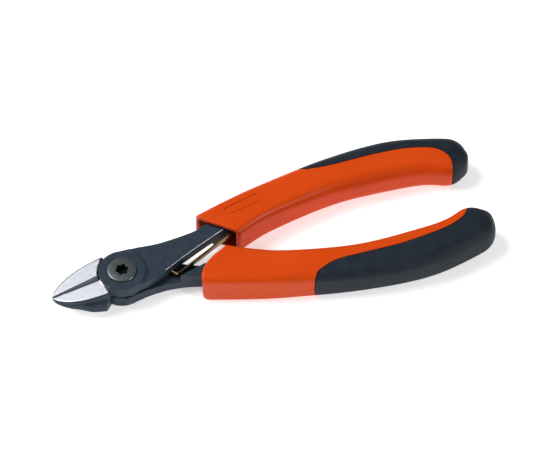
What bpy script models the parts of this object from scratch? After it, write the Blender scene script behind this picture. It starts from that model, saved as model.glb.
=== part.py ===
"""Diagonal cutting pliers, lying flat with the jaws closed.

Everything is laid out about the pivot axis, in millimetres: X runs from the pivot to the handle ends, Y
towards the handle of the upper half, and heights are counted from the mid-plane that both halves share.
The pieces of the lower half are drawn as upper ones and turned half a turn about X. They differ from the
upper ones in the lean of the jaw, the edge of the arm, the front of the sleeve and the start of the grip.
"""

import math

import bmesh
import bpy
from mathutils import Vector

MM = 0.001

# Overall sizes
OVERALL_LENGTH = 160.0
TIP_REACH = 26.1  # from the pivot axis to the tip of the jaws
HANDLE_THICKNESS = 13.4

# Lap joint
OPEN_ANGLE = 25.0  # degrees between the halves when the shoulders meet
STOP_CLEARANCE = 0.8  # degrees left between the stop faces at that angle
BOSS_RADIUS = 8.4
BOSS_PROUD = 0.8  # of the boss's outer face above the arm's
LAP_GAP = 0.3
SWEEP_GAP = 0.3  # between a half and the edge that sweeps past it
KNOB_ANGLE = 123.5  # degrees from X to the back of the lower half's jaw, which acts as the stop
UPPER_KNOB_ANGLE = 131.5  # the same for the upper half's jaw, which stays clear of the other shoulder
SHOULDER_PROUD = 0.8  # of the stop shoulder beyond the boss

# Jaws
JAW_HALF_WIDTH = 8.15
LAND_BACK = 6.5  # how far in front of the pivot axis the ground faces reach their full height
JAW_BACK = 1.5  # how far in front of the pivot axis the jaw is widest
JAW_SUNK = 0.2  # of the ground face at the boss, below the boss's outer face
TIP_HEIGHT = 0.95  # of the ground face at the tip
GROOVE_HALF_WIDTH = 1.05  # of the V between the ground faces, at the boss
JAW_CHAMFER = 0.45
JAW_DRAFT = 1.1  # how far the sides swell out at the underside
JAW_DRAFT_START = -18.0
JAW_DRAFT_END = -12.5
JAW_LEAN = 0.07  # slope of the cutting edges from X, towards the lower handle
JAW_LEAN_START = -4.4
EDGE_LEVEL = 0.7  # height of the cutting edges, as a share of the ground faces' height
EDGE_GAP = 0.12  # from each cutting edge to the plane where they meet

# Arms
ARM_CLEARANCE = 0.7  # from the arm's outer face to the roof of the sleeve
CORE_WALL = 1.1  # of the sleeve over the tang, under the soft grip
TANG_SHORT = 35.9  # from the tang's end to the end of the handle
TANG_HALF_WIDTH = 2.6
TANG_STEP = 44.0  # where the arm drops to the height of the tang, inside the sleeve
DEEP_ARM_TOP = 1.0  # overlap of the arm's deep part with the plate above the lap

# Pivot
SCREW_HEAD_RADIUS = 5.25
SCREW_HEAD_PROUD = 0.6
SCREW_HEAD_DEPTH = 1.2
SHANK_RADIUS = 3.6
SHANK_CLEARANCE = 0.08
THREAD_RADIUS = 2.6
SOCKET_RADIUS = 2.5
SOCKET_DEPTH = 2.2
RECESS_CLEARANCE = 0.15

# Handles
SLEEVE_WALL = 1.7
EDGE_RADIUS = 4.6  # of the handle's edges behind EDGE_FADE_END
FRONT_EDGE_RADIUS = 2.5  # of the handle's edges in front of EDGE_FADE_START
EDGE_FADE_START = 40.0
EDGE_FADE_END = 90.0
LEAST_RADIUS = 0.3  # of the edges of a hollow inside the handle
GRIP_THICKNESS = 1.6
GRIP_GAP = 0.3
GRIP_LINE_REACH = 2.3  # of the grip's edge lines beyond the flat faces
END_RADIUS = 8.0
TANG_CLEARANCE = 0.3
HOLLOW_END = 54.0
LABEL_DEPTH = 0.3

# Return spring
SPRING_THICKNESS = 0.6
SPRING_TOP = 2.3
SPRING_DEEP = 0.0
SPRING_TONGUE = 0.35  # underside of the narrow tongue that lies over the lap face
SPRING_PIN_RADIUS = 0.8
SPRING_PIN_CLEARANCE = 0.1
PIN_SEAT_DEPTH = 0.8  # of the blind holes that hold the pin in the roof and floor of the sleeve
PIN_END_GAP = 0.2
SPRING_EYE_X = 46.5
SPRING_EYE_CLEARANCE = 0.3135  # along Y, from the eye to the inner wall of the sleeve

HANDLE_REACH = OVERALL_LENGTH - TIP_REACH
MID_HEIGHT = HANDLE_THICKNESS / 2
PIVOT_X = (TIP_REACH - HANDLE_REACH) / 2
ARM_HEIGHT = MID_HEIGHT - SLEEVE_WALL - ARM_CLEARANCE
TANG_HEIGHT = MID_HEIGHT - GRIP_THICKNESS - GRIP_GAP - CORE_WALL - TANG_CLEARANCE
BOSS_HEIGHT = ARM_HEIGHT + BOSS_PROUD
JAW_HEIGHT = BOSS_HEIGHT - JAW_SUNK
TANG_END = HANDLE_REACH - TANG_SHORT
CUTTER_HEIGHT = 2 * HANDLE_THICKNESS
SEGMENTS = 48

# The plans below are drawn for this reach. Behind STRETCH_START they fill the handle's own reach.
DRAWN_REACH = 133.9
STRETCH_START = 58.0

# Plan of the upper handle: distance from the pivot, centre line and half width
HANDLE_STATIONS = (
    (20.0, 2.2, 9.2),
    (34.0, 7.3, 8.5),
    (46.0, 11.8, 7.5),
    (58.0, 15.2, 7.1),
    (82.0, 19.5, 7.6),
    (104.0, 20.2, 8.3),
    (120.0, 17.9, 7.8),
    (134.0, 12.4, 8.6),
)

# Front edge of each sleeve in plan, from the inner side to the outer one
FRONT_OF_UPPER = (
    (50.0, -2.0), (43.4, 4.0), (40.0, 6.9), (37.0, 9.2),
    (34.0, 11.7), (31.9, 14.2), (31.2, 18.0), (31.2, 22.0),
)
FRONT_OF_LOWER = (
    (44.0, -6.0), (37.6, 1.0), (32.9, 3.6), (29.3, 6.4),
    (26.9, 9.4), (26.0, 12.6), (26.4, 16.0), (27.0, 22.0),
)

# Outer edge of each arm, from behind the shoulder to the sleeve
ARM_OF_UPPER = (
    (4.2, 8.95), (8.8, 8.7), (14.1, 8.3), (18.0, 8.4), (22.0, 8.75), (26.0, 9.2), (30.0, 9.9), (34.0, 11.5),
)
ARM_OF_LOWER = (
    (3.0, 8.1), (9.6, 7.2), (14.8, 6.9), (19.9, 7.3), (23.6, 8.0), (27.0, 8.9), (31.0, 10.3), (34.5, 12.0),
)

# Front of each arm's deep part, which fills the sleeve's height behind the lap
DEEP_OF_UPPER = ((33.8, 10.4), (36.4, 6.6))
DEEP_OF_LOWER = ((19.4, 7.0), (29.6, 4.1))

# Blank panel sunk into the top of the upper sleeve
LABEL_CORNERS = ((41.8, 14.5), (54.9, 17.8), (56.7, 14.3), (42.8, 11.4))

# Edge of each soft grip in plan, from the outer side round the end to the inner one: on the face that lies
# upwards at rest, then on the one underneath
GRIP_OF_UPPER = (
    (
        (72.0, 34.0), (75.0, 24.6), (79.0, 23.2), (88.0, 22.9), (100.0, 23.2), (111.0, 22.7),
        (118.5, 21.3), (124.0, 18.8), (127.0, 14.5), (127.2, 10.0), (125.8, 5.5), (123.0, -4.0),
    ),
    (
        (62.0, 34.0), (66.4, 23.0), (69.6, 19.9), (74.0, 17.9), (84.0, 17.7), (95.0, 17.8),
        (105.0, 17.0), (114.0, 15.9), (120.0, 14.4), (124.0, 12.2), (126.0, 8.0), (126.5, -4.0),
    ),
)
GRIP_OF_LOWER = (
    (
        (60.8, 34.0), (65.2, 23.0), (68.8, 19.9), (73.6, 17.9), (84.0, 17.7), (95.0, 17.8),
        (105.0, 17.0), (114.0, 15.9), (120.0, 14.4), (124.0, 12.2), (126.0, 8.0), (126.5, -4.0),
    ),
    (
        (60.0, 34.0), (63.4, 25.2), (69.0, 23.2), (82.0, 22.9), (98.0, 23.2), (111.0, 22.7),
        (118.5, 21.3), (124.0, 18.8), (127.0, 14.5), (127.2, 10.0), (125.8, 5.5), (123.0, -4.0),
    ),
)


def clear_scene():
    for thing in list(bpy.data.objects):
        bpy.data.objects.remove(thing, do_unlink=True)


def polar(radius, degrees):
    angle = math.radians(degrees)
    return radius * math.cos(angle), radius * math.sin(angle)


def smooth_line(points, steps):
    """A curve through the points, with this many steps between each two."""
    padded = [points[0], *points, points[-1]]
    line = []
    for before, start, end, after in zip(padded, padded[1:], padded[2:], padded[3:]):
        for step in range(steps):
            t = step / steps
            line.append(tuple(
                b + 0.5 * ((c - a) * t + (2 * a - 5 * b + 4 * c - d) * t**2 + (3 * b - a - 3 * c + d) * t**3)
                for a, b, c, d in zip(before, start, end, after)
            ))
    line.append(tuple(points[-1]))
    return line


def stretched(points):
    """Points of a drawn plan at their places on the handle."""
    stretch = (HANDLE_REACH - STRETCH_START) / (DRAWN_REACH - STRETCH_START)
    return [(x + (stretch - 1) * max(0.0, x - STRETCH_START), *rest) for x, *rest in points]


HANDLE_LINE = stretched(smooth_line(HANDLE_STATIONS, 12))


def handle_at(x):
    """Centre line, slope and half width of the upper handle at this distance from the pivot."""
    for (x0, y0, w0), (x1, y1, w1) in zip(HANDLE_LINE, HANDLE_LINE[1:]):
        if x <= x1:
            break
    share = (x - x0) / (x1 - x0)
    return y0 + (y1 - y0) * share, (y1 - y0) / (x1 - x0), w0 + (w1 - w0) * share


def spring_eye():
    """Centre of the spring's eye, which lies beside the inner wall of the upper sleeve."""
    y, slope, half_width = handle_at(SPRING_EYE_X)
    reach = SPRING_PIN_RADIUS + SPRING_PIN_CLEARANCE + SPRING_THICKNESS + SPRING_EYE_CLEARANCE
    return SPRING_EYE_X, y - (half_width - SLEEVE_WALL) * math.hypot(1, slope) + reach


SPRING_EYE = spring_eye()


# Meshes


def mesh_object(name, points, faces):
    mesh = bpy.data.meshes.new(name)
    mesh.from_pydata([Vector(point) * MM for point in points], [], faces)
    shape = bmesh.new()
    shape.from_mesh(mesh)
    bmesh.ops.recalc_face_normals(shape, faces=shape.faces)
    shape.to_mesh(mesh)
    shape.free()
    thing = bpy.data.objects.new(name, mesh)
    bpy.context.scene.collection.objects.link(thing)
    return thing


def loft(name, rings):
    """A closed solid through rings of equally many points."""
    count = len(rings[0])
    points = [point for ring in rings for point in ring]
    faces = [
        (row + i, row + (i + 1) % count, row + count + (i + 1) % count, row + count + i)
        for row in range(0, count * (len(rings) - 1), count)
        for i in range(count)
    ]
    faces.append(tuple(range(count)))
    faces.append(tuple(range(len(points) - count, len(points))))
    return mesh_object(name, points, faces)


def prism(name, outline, low, high):
    return loft(name, [[(x, y, z) for x, y in outline] for z in (low, high)])


def disc(name, radius, low, high):
    return prism(name, [polar(radius, 360 * i / SEGMENTS) for i in range(SEGMENTS)], low, high)


def turned(name, profile, centre=(0.0, 0.0)):
    """A solid turned about Z: the profile is radius and height, from the bottom edge to the top one."""
    rings = []
    for radius, z in profile:
        ring = [polar(radius, 360 * i / SEGMENTS) for i in range(SEGMENTS)]
        rings.append([(centre[0] + x, centre[1] + y, z) for x, y in ring])
    return loft(name, rings)


def boolean(target, tool, operation):
    step = target.modifiers.new(f"{operation.lower()} {tool.name}", "BOOLEAN")
    step.operation = operation
    step.object = tool
    step.solver = "EXACT"
    tool.hide_render = True
    tool.display_type = "WIRE"
    return target


# Forged halves


def jaw_half_width(x):
    share = min(1.0, max(0.0, (-JAW_BACK - x) / (TIP_REACH - JAW_BACK)))
    return JAW_HALF_WIDTH * max(0.0, 1 - share**2.6) ** 0.62


def jaw_section(x, side):
    """Section of the near jaw across X, from its cutting edge round the outside.

    side is 1 for the upper half and -1 for the lower one, so that both jaws lean and swell the same way.
    """
    along = min(1.0, max(0.0, (x + TIP_REACH) / (TIP_REACH - LAND_BACK)))
    height = TIP_HEIGHT + (JAW_HEIGHT - TIP_HEIGHT) * along
    groove = GROOVE_HALF_WIDTH * (0.12 + 0.88 * along)
    width = max(jaw_half_width(x), groove + 0.35)
    chamfer = min(JAW_CHAMFER, 0.4 * (width - groove))
    drop = min(chamfer * 1.1, 0.45 * height)
    share = min(1.0, max(0.0, (x - JAW_DRAFT_START) / (JAW_DRAFT_END - JAW_DRAFT_START)))
    draft = JAW_DRAFT * share * share * (3 - 2 * share)
    lean = side * JAW_LEAN * min(0.0, x - JAW_LEAN_START)
    section = [
        (EDGE_GAP, EDGE_LEVEL * height),
        (EDGE_GAP + groove, height),
        (width - chamfer, height),
        (width, height - drop),
        (width + 0.12 * draft, 0.3 * height),
        (width + 0.7 * draft, -0.4 * height),
        (width + draft, drop - height),
        (width + draft - chamfer, -height),
        (EDGE_GAP + groove, -height),
    ]
    return [(x, lean - across, side * up) for across, up in section]


def jaw(side):
    length = TIP_REACH - JAW_BACK
    shares = [(step / 16) ** 1.6 for step in range(17)]
    rings = [jaw_section(-TIP_REACH + share * length, side) for share in shares]
    solid = loft("jaw_form", rings)
    below = disc("jaw_clearance", BOSS_RADIUS + SWEEP_GAP, -2 * BOSS_HEIGHT, LAP_GAP / 2)
    boolean(solid, below, "DIFFERENCE")
    far = 3 * BOSS_RADIUS
    knob = UPPER_KNOB_ANGLE if side > 0 else KNOB_ANGLE
    back = prism(
        "jaw_back",
        [(0.0, 0.0), polar(far, -knob), (far, -far), (far, 0.0)],
        -2 * BOSS_HEIGHT,
        2 * BOSS_HEIGHT,
    )
    return boolean(solid, back, "DIFFERENCE")


def arm_edges(line):
    """Outer and inner edges of an arm, from the joint to where the tang begins."""
    shoulder = KNOB_ANGLE - OPEN_ANGLE - STOP_CLEARANCE
    outer = [polar(0.7 * BOSS_RADIUS, shoulder), polar(BOSS_RADIUS + SHOULDER_PROUD, shoulder)]
    outer += smooth_line(line, 2)
    inner = [polar(0.99 * BOSS_RADIUS, -62)]
    inner += [(7.6, -6.6), (11.6, -5.2), (17.0, -2.9), (22.0, -0.4), (29.4, 3.0)]
    return outer, inner


def tang_edges(extra=0.0):
    """Outer and inner edges of the tang inside the sleeve, widened by extra."""
    outer, inner = [], []
    behind = TANG_END - STRETCH_START
    stations = [40.0, 48.0, STRETCH_START, STRETCH_START + 0.3 * behind, STRETCH_START + 0.65 * behind]
    for x in (*stations, TANG_END + extra):
        y, slope, _ = handle_at(x)
        lean = math.hypot(1, slope)
        taper = 0.6 * max(0.0, (58.0 - x) / 18.0)
        half = (TANG_HALF_WIDTH + taper + extra) * lean
        shift = 1.4 * max(0.0, (58.0 - x) / 18.0)
        outer.append((x, y + shift + half))
        inner.append((x, y + shift - half))
    return outer, inner


def tang_outline(extra=0.0):
    outer, inner = tang_edges(extra)
    return outer + inner[::-1]


def half(name, side, line):
    """One forged half, with the jaw at -Y and the tang at +Y. It lies above the other half at the pivot."""
    outer, inner = arm_edges(line)
    tang_outer, tang_inner = tang_edges()
    solid = disc(name, BOSS_RADIUS, LAP_GAP / 2, BOSS_HEIGHT)
    boolean(solid, jaw(side), "UNION")
    plate = outer + tang_outer[:1] + tang_inner[:1] + inner[::-1]
    boolean(solid, prism(f"{name}_arm", plate, LAP_GAP / 2, ARM_HEIGHT), "UNION")
    deep = DEEP_OF_UPPER if side > 0 else DEEP_OF_LOWER
    deep = [*deep, tang_inner[0], tang_outer[0]]
    deep += [(x, y - 0.1) for x, y in reversed(line) if x > deep[0][0]]
    boolean(solid, prism(f"{name}_deep_arm", deep, -TANG_HEIGHT, DEEP_ARM_TOP), "UNION")
    joint_x = tang_outer[0][0] - 2.0
    tang = tang_outline()
    tang = [(joint_x, tang[0][1] - 0.9)] + tang + [(joint_x, tang[-1][1] + 0.1)]
    boolean(solid, prism(f"{name}_tang", tang, -TANG_HEIGHT + 0.02, TANG_HEIGHT - 0.02), "UNION")
    trim = [(TANG_STEP, -20.0), (2 * TANG_STEP, -20.0), (2 * TANG_STEP, 40.0), (TANG_STEP, 40.0)]
    boolean(solid, prism(f"{name}_trim", trim, TANG_HEIGHT, CUTTER_HEIGHT), "DIFFERENCE")
    bore = disc(f"{name}_bore", SHANK_RADIUS + SHANK_CLEARANCE, -CUTTER_HEIGHT, CUTTER_HEIGHT)
    boolean(solid, bore, "DIFFERENCE")
    recess = disc(
        f"{name}_recess",
        SCREW_HEAD_RADIUS + RECESS_CLEARANCE,
        BOSS_HEIGHT - SCREW_HEAD_DEPTH - RECESS_CLEARANCE,
        CUTTER_HEIGHT,
    )
    return boolean(solid, recess, "DIFFERENCE")


# Pivot


def pivot_screw():
    seat = BOSS_HEIGHT - SCREW_HEAD_DEPTH
    top = BOSS_HEIGHT + SCREW_HEAD_PROUD
    thread_start = -seat + 0.2
    screw = turned("pivot_screw", [
        (THREAD_RADIUS, -BOSS_HEIGHT),
        (THREAD_RADIUS, thread_start),
        (SHANK_RADIUS, thread_start),
        (SHANK_RADIUS, seat),
        (SCREW_HEAD_RADIUS, seat),
        (SCREW_HEAD_RADIUS, top - 0.35),
        (SCREW_HEAD_RADIUS - 0.35, top),
    ])
    lobes = 6
    points = 8 * lobes
    star = []
    for i in range(points):
        lobe = math.cos(math.radians(lobes * 360 * i / points))
        star.append(polar(SOCKET_RADIUS * (0.86 + 0.14 * lobe), 360 * i / points))
    return boolean(screw, prism("screw_socket", star, top - SOCKET_DEPTH, top + 1.0), "DIFFERENCE")


def pivot_nut():
    seat = -BOSS_HEIGHT + SCREW_HEAD_DEPTH
    face = -BOSS_HEIGHT - 0.2
    nut = turned("pivot_nut", [
        (SCREW_HEAD_RADIUS - 0.3, face),
        (SCREW_HEAD_RADIUS, face + 0.3),
        (SCREW_HEAD_RADIUS, seat),
    ])
    thread = disc("nut_thread", THREAD_RADIUS + SHANK_CLEARANCE, -CUTTER_HEIGHT, 0.0)
    return boolean(nut, thread, "DIFFERENCE")


# Handles


def edge_radius(x, inset):
    """Radius of the handle's rounded edges at x, for a skin moved inwards by inset."""
    share = min(1.0, max(0.0, (x - EDGE_FADE_START) / (EDGE_FADE_END - EDGE_FADE_START)))
    radius = FRONT_EDGE_RADIUS + (EDGE_RADIUS - FRONT_EDGE_RADIUS) * share * share * (3 - 2 * share)
    return max(LEAST_RADIUS, radius - inset)


def handle_section(x, inset, squeeze):
    """Rounded section of the handle across its centre line at x. squeeze closes it towards its end."""
    y, slope, half_width = handle_at(x)
    lean = math.hypot(1, slope)
    across = (-slope / lean, 1 / lean)
    width = max(0.25, (half_width - inset) * squeeze)
    height = (MID_HEIGHT - inset) * (0.45 + 0.55 * squeeze)
    radius = min(edge_radius(x, inset), 0.95 * width, 0.95 * height)
    ring = []
    for side, up, start in ((1, 1, 0), (-1, 1, 90), (-1, -1, 180), (1, -1, 270)):
        for turn in (0, 30, 60, 90):
            dy, dz = polar(radius, start + turn)
            offset = side * (width - radius) + dy
            ring.append((x + across[0] * offset, y + across[1] * offset, up * (height - radius) + dz))
    return ring


def handle_form(name, inset=0.0, start=20.0, end=HANDLE_REACH):
    """The handle's body between two distances from the pivot, made smaller all round by inset."""
    angles = (18, 34, 48, 60, 71, 80, 87)
    straight = end - inset - END_RADIUS
    for _ in range(3):
        rounded = [
            handle_section(
                straight + END_RADIUS * math.sin(math.radians(angle)), inset, math.cos(math.radians(angle))
            )
            for angle in angles
        ]
        straight -= max(point[0] for ring in rounded for point in ring) - (end - inset)
    steps = 26
    length = straight - start
    rings = [handle_section(start + length * step / steps, inset, 1.0) for step in range(steps + 1)]
    rings += rounded
    return loft(name, rings)


def ruled(name, upper, lower, behind):
    """A solid from a line above the upper face to one below the lower face, filled to the points behind."""
    height = MID_HEIGHT + GRIP_LINE_REACH
    slope_up = [(x, y, height) for x, y in (*upper, *behind)]
    slope_down = [(x, y, -height) for x, y in (*lower, *behind)]
    return loft(name, [slope_up, slope_down])


def front_cutter(name, line):
    outline = smooth_line(line, 3) + [(0.0, 22.0), (0.0, -30.0)]
    return prism(name, outline, -CUTTER_HEIGHT, CUTTER_HEIGHT)


def label_panel(name):
    """Shallow rectangle that sinks a blank panel into the top of a sleeve."""
    top = MID_HEIGHT
    return prism(name, LABEL_CORNERS, top - LABEL_DEPTH, top + 1.0)


def grip_zone(name, edges, grow=0.0):
    """The space that holds a soft grip between its edges. grow moves them into the hard sleeve."""
    def moved(line):
        shifted = []
        for index, (x, y) in enumerate(line):
            x0, y0 = line[max(0, index - 1)]
            x1, y1 = line[min(len(line) - 1, index + 1)]
            length = math.hypot(x1 - x0, y1 - y0)
            shifted.append((x + grow * (y1 - y0) / length, y - grow * (x1 - x0) / length))
        return shifted

    upper = moved(stretched(smooth_line(edges[0], 3)))
    lower = moved(stretched(smooth_line(edges[1], 3)))
    return ruled(name, upper, lower, [(OVERALL_LENGTH, -4.0), (OVERALL_LENGTH, 34.0)])


def sleeve(name, front, edges):
    solid = handle_form(name)
    boolean(solid, grip_zone(f"{name}_grip_zone", edges, GRIP_GAP), "DIFFERENCE")
    boolean(solid, handle_form(f"{name}_core", GRIP_THICKNESS + GRIP_GAP, start=60.0), "UNION")
    boolean(solid, front_cutter(f"{name}_front", front), "DIFFERENCE")
    hollow = handle_form(f"{name}_hollow", SLEEVE_WALL, start=16.0, end=HOLLOW_END + END_RADIUS)
    boolean(solid, hollow, "DIFFERENCE")
    pocket = prism(
        f"{name}_pocket",
        tang_outline(TANG_CLEARANCE),
        -TANG_HEIGHT - TANG_CLEARANCE,
        TANG_HEIGHT + TANG_CLEARANCE,
    )
    boolean(solid, pocket, "DIFFERENCE")
    seat_reach = MID_HEIGHT - SLEEVE_WALL + PIN_SEAT_DEPTH
    seat_radius = SPRING_PIN_RADIUS + SPRING_PIN_CLEARANCE
    ends = [(seat_radius, -seat_reach), (seat_radius, seat_reach)]
    return boolean(solid, turned(f"{name}_pin_seat", ends, SPRING_EYE), "DIFFERENCE")


def grip(name, edges):
    solid = handle_form(name)
    boolean(solid, grip_zone(f"{name}_zone", edges), "INTERSECT")
    return boolean(solid, handle_form(f"{name}_inside", GRIP_THICKNESS, start=56.0), "DIFFERENCE")


# Return spring


def spring_line():
    """Middle of the strip, from its bent tip to the pin."""
    eye_x, eye_y = SPRING_EYE
    radius = SPRING_PIN_RADIUS + SPRING_PIN_CLEARANCE + SPRING_THICKNESS / 2
    bend = [(17.6, -3.35), (18.4, -4.2), (19.6, -4.6), (20.9, -4.15)]
    from_x, from_y = bend[-1]
    lean = math.degrees(math.atan2(eye_y + radius * 0.9 - from_y, eye_x - radius * 0.45 - from_x))
    dx, dy = polar(radius, 90 + lean)
    last = (eye_x + dx, eye_y + dy)
    steps = 5
    straight = [
        (from_x + (last[0] - from_x) * i / steps, from_y + (last[1] - from_y) * i / steps)
        for i in range(1, steps)
    ]
    return smooth_line(bend, 2)[:-1] + [bend[-1]] + straight, last


def strip(name, line, low, high):
    """A strip of the spring's thickness, on edge along a line. low gives its lower edge at each x."""
    rings = []
    for index, (x, y) in enumerate(line):
        x0, y0 = line[max(0, index - 1)]
        x1, y1 = line[min(len(line) - 1, index + 1)]
        length = math.hypot(x1 - x0, y1 - y0)
        dx = (y1 - y0) / length * SPRING_THICKNESS / 2
        dy = -(x1 - x0) / length * SPRING_THICKNESS / 2
        near, far = (x + dx, y + dy), (x - dx, y - dy)
        rings.append([(*near, low(x)), (*near, high), (*far, high), (*far, low(x))])
    return loft(name, rings)


def return_spring():
    line, last = spring_line()
    eye_x, eye_y = SPRING_EYE

    def lower_edge(x):
        share = min(1.0, max(0.0, (x - 25.5) / 3.0))
        return SPRING_TONGUE + (SPRING_DEEP - SPRING_TONGUE) * share

    blade = strip("return_spring", [*line, last, (last[0] + 0.5, last[1] + 0.1)], lower_edge, SPRING_TOP)
    inner = SPRING_PIN_RADIUS + SPRING_PIN_CLEARANCE
    eye = turned("spring_eye", [
        (inner + SPRING_THICKNESS, SPRING_DEEP + 0.02),
        (inner + SPRING_THICKNESS, SPRING_TOP - 0.02),
    ], SPRING_EYE)
    boolean(blade, eye, "UNION")
    hole = turned("spring_eye_hole", [(inner, -CUTTER_HEIGHT), (inner, CUTTER_HEIGHT)], SPRING_EYE)
    return boolean(blade, hole, "DIFFERENCE")


def spring_pin():
    reach = MID_HEIGHT - SLEEVE_WALL + PIN_SEAT_DEPTH - PIN_END_GAP
    return turned("spring_pin", [
        (SPRING_PIN_RADIUS - 0.2, -reach),
        (SPRING_PIN_RADIUS, -reach + 0.2),
        (SPRING_PIN_RADIUS, reach - 0.2),
        (SPRING_PIN_RADIUS - 0.2, reach),
    ], SPRING_EYE)


# Finishes and assembly


def finish(name, colour, roughness, metallic):
    material = bpy.data.materials.new(name)
    material.use_nodes = True
    shader = material.node_tree.nodes["Principled BSDF"]
    shader.inputs["Base Color"].default_value = (*colour, 1.0)
    shader.inputs["Roughness"].default_value = roughness
    shader.inputs["Metallic"].default_value = metallic
    return material


def place(thing, parent, material, smooth=False):
    """Puts a piece on its frame and gives it its finish. smooth is for pieces with round sides."""
    thing.parent = parent
    thing.data.materials.append(material)
    if smooth:
        thing.data.shade_smooth()
        thing.data.set_sharp_from_angle(angle=math.radians(30))
    return thing


def frame_empty(name, parent=None, turned_over=False, at=(0.0, 0.0)):
    """An empty on an axis that pieces turn about: the pivot's own, or one at a place counted from it."""
    empty = bpy.data.objects.new(name, None)
    if parent is None:
        empty.location = Vector((PIVOT_X, 0.0, MID_HEIGHT)) * MM
    else:
        empty.location = Vector((*at, 0.0)) * MM
    empty.parent = parent
    empty.rotation_euler = (math.pi if turned_over else 0.0, 0.0, 0.0)
    bpy.context.scene.collection.objects.link(empty)
    return empty


def adopt_helpers():
    """Gives each cutter and guide the frame and the place of the piece that it shapes."""
    waiting = [thing for thing in bpy.data.objects if thing.type == "MESH" and not thing.hide_render]
    while waiting:
        piece = waiting.pop()
        for modifier in piece.modifiers:
            if modifier.type == "BOOLEAN" and modifier.object.parent is None:
                modifier.object.parent = piece.parent
                modifier.object.location = piece.location
                waiting.append(modifier.object)


def main():
    clear_scene()
    forged = finish("forged_steel", (0.028, 0.042, 0.062), 0.38, 0.85)
    plated = finish("plated_steel", (0.20, 0.21, 0.19), 0.35, 1.0)
    bronze = finish("spring_strip", (0.33, 0.26, 0.15), 0.3, 1.0)
    orange = finish("orange_plastic", (0.75, 0.12, 0.01), 0.35, 0.0)
    black = finish("soft_rubber", (0.012, 0.016, 0.021), 0.6, 0.0)

    upper = frame_empty("upper_frame")
    lower = frame_empty("lower_frame", turned_over=True)
    place(half("upper_half", 1, ARM_OF_UPPER), upper, forged, True)
    place(half("lower_half", -1, ARM_OF_LOWER), lower, forged, True)
    upper_sleeve = place(sleeve("upper_sleeve", FRONT_OF_UPPER, GRIP_OF_UPPER), upper, orange, True)
    boolean(upper_sleeve, label_panel("upper_sleeve_label"), "DIFFERENCE")
    place(sleeve("lower_sleeve", FRONT_OF_LOWER, GRIP_OF_LOWER[::-1]), lower, orange, True)
    place(grip("upper_grip", GRIP_OF_UPPER), upper, black, True)
    place(grip("lower_grip", GRIP_OF_LOWER[::-1]), lower, black, True)
    place(pivot_screw(), upper, plated, True)
    place(pivot_nut(), upper, plated, True)
    place(spring_pin(), upper, plated, True)
    eye_x, eye_y = SPRING_EYE
    hinge = frame_empty("spring_frame", parent=upper, at=SPRING_EYE)
    spring = place(return_spring(), hinge, bronze)
    spring.location = Vector((-eye_x, -eye_y, 0.0)) * MM
    adopt_helpers()


main()
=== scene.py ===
"""Looks for the diagonal cutting pliers: forged halves, pivot, return spring, hard sleeves and soft grips."""

import math

import bmesh
import bpy
from mathutils import Matrix, Vector


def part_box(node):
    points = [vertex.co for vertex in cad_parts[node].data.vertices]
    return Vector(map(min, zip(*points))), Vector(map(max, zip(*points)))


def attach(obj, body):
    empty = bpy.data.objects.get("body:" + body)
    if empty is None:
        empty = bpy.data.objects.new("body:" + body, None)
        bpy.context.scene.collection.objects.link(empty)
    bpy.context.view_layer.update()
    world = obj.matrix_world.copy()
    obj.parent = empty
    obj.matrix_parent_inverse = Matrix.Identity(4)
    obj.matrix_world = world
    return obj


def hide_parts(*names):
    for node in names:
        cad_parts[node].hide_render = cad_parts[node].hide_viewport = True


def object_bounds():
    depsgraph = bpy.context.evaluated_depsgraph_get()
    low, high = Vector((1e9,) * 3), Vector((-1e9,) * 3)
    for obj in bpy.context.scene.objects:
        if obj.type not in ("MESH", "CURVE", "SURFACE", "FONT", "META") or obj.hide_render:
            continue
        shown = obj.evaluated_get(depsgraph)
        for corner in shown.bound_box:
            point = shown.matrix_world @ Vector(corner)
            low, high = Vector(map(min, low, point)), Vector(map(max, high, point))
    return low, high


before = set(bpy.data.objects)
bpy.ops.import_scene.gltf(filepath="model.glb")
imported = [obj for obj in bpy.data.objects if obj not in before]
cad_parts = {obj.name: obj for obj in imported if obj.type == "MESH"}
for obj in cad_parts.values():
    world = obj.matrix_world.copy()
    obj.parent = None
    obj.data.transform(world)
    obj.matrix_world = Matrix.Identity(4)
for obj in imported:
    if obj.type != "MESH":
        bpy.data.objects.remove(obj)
cad_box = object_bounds()

MM = 0.001
SCREW_LOW, SCREW_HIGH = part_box("pivot_screw")
SLEEVE_LOW, SLEEVE_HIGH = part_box("upper_sleeve")
BOX_LOW, BOX_HIGH = cad_box
PIVOT = Vector(((SCREW_LOW.x + SCREW_HIGH.x) / 2, (SCREW_LOW.y + SCREW_HIGH.y) / 2, BOX_HIGH.z / 2))

# Sizes below are millimetres about the pivot axis: X to the handle ends, Y to the upper half's handle,
# heights from the mid-plane. The lower half's pieces are the same ones, turned half a turn about X.
TIP_REACH = (PIVOT.x - BOX_LOW.x) / MM
HANDLE_REACH = (BOX_HIGH.x - PIVOT.x) / MM
HANDLE_THICKNESS = BOX_HIGH.z / MM

OPEN_ANGLE = 25.0
STOP_CLEARANCE = 0.8
BOSS_RADIUS = 8.4
BOSS_HEIGHT = 5.1
LAP_GAP = 0.3
SWEEP_GAP = 0.3
KNOB_ANGLE = 123.5
UPPER_KNOB_ANGLE = 131.5
SHOULDER_PROUD = 0.8

JAW_HALF_WIDTH = 8.15
LAND_BACK = 6.5
JAW_BACK = 1.5
JAW_HEIGHT = 4.9
TIP_HEIGHT = 0.95
GROOVE_HALF_WIDTH = 1.05
JAW_CHAMFER = 0.45
JAW_DRAFT = 1.1
JAW_DRAFT_START = -18.0
JAW_DRAFT_END = -12.5
JAW_LEAN = 0.07
JAW_LEAN_START = -4.4
EDGE_LEVEL = 0.7
EDGE_GAP = 0.12

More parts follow.
